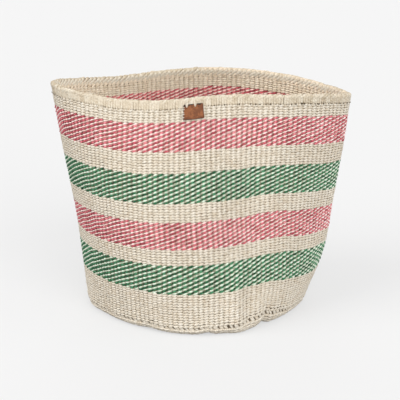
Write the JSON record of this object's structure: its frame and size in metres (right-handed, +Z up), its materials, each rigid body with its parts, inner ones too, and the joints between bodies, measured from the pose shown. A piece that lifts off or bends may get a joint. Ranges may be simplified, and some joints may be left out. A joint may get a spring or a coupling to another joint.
{
  "type": "kiondo basket",
  "caption": "Soft open-topped floor basket twined from natural sisal cord, with pink and green slanted-stitch bands, a ribbed folded hem and a small bare leather label.",
  "frame": {"origin": "middle of the flat underside of the base, on the floor", "axes": "+Z up, +X to the right along the long way of the hem, -Y the side with the label"},
  "size_m": [0.3833, 0.2854, 0.2948],
  "materials": {
    "natural_sisal": "undyed twisted sisal cord, matt with a slight fibre sheen",
    "green_band": "dark green and undyed sisal cord twined together",
    "pink_band": "deep pink and undyed sisal cord twined together",
    "label_leather": "bare tan leather, satin"
  },
  "bodies": {
    "root": {"base_start_knot": "natural_sisal", "base_disc": "natural_sisal", "base_turn_round": "natural_sisal", "wall_natural_bottom": "natural_sisal", "wall_green_lower": "green_band", "wall_natural_lower": "natural_sisal", "wall_pink_lower": "pink_band", "wall_natural_middle": "natural_sisal", "wall_green_upper": "green_band", "wall_natural_upper": "natural_sisal", "wall_pink_upper": "pink_band", "wall_natural_top": "natural_sisal", "rim_binding_round": "natural_sisal", "rim_fold": "natural_sisal", "leather_label": "label_leather", "label_top_stitch_1": "natural_sisal", "label_top_stitch_2": "natural_sisal", "label_side_stitch_1": "natural_sisal", "label_side_stitch_2": "natural_sisal", "label_side_stitch_3": "natural_sisal", "label_side_stitch_4": "natural_sisal", "label_side_stitch_5": "natural_sisal"}
  },
  "joints": []
}
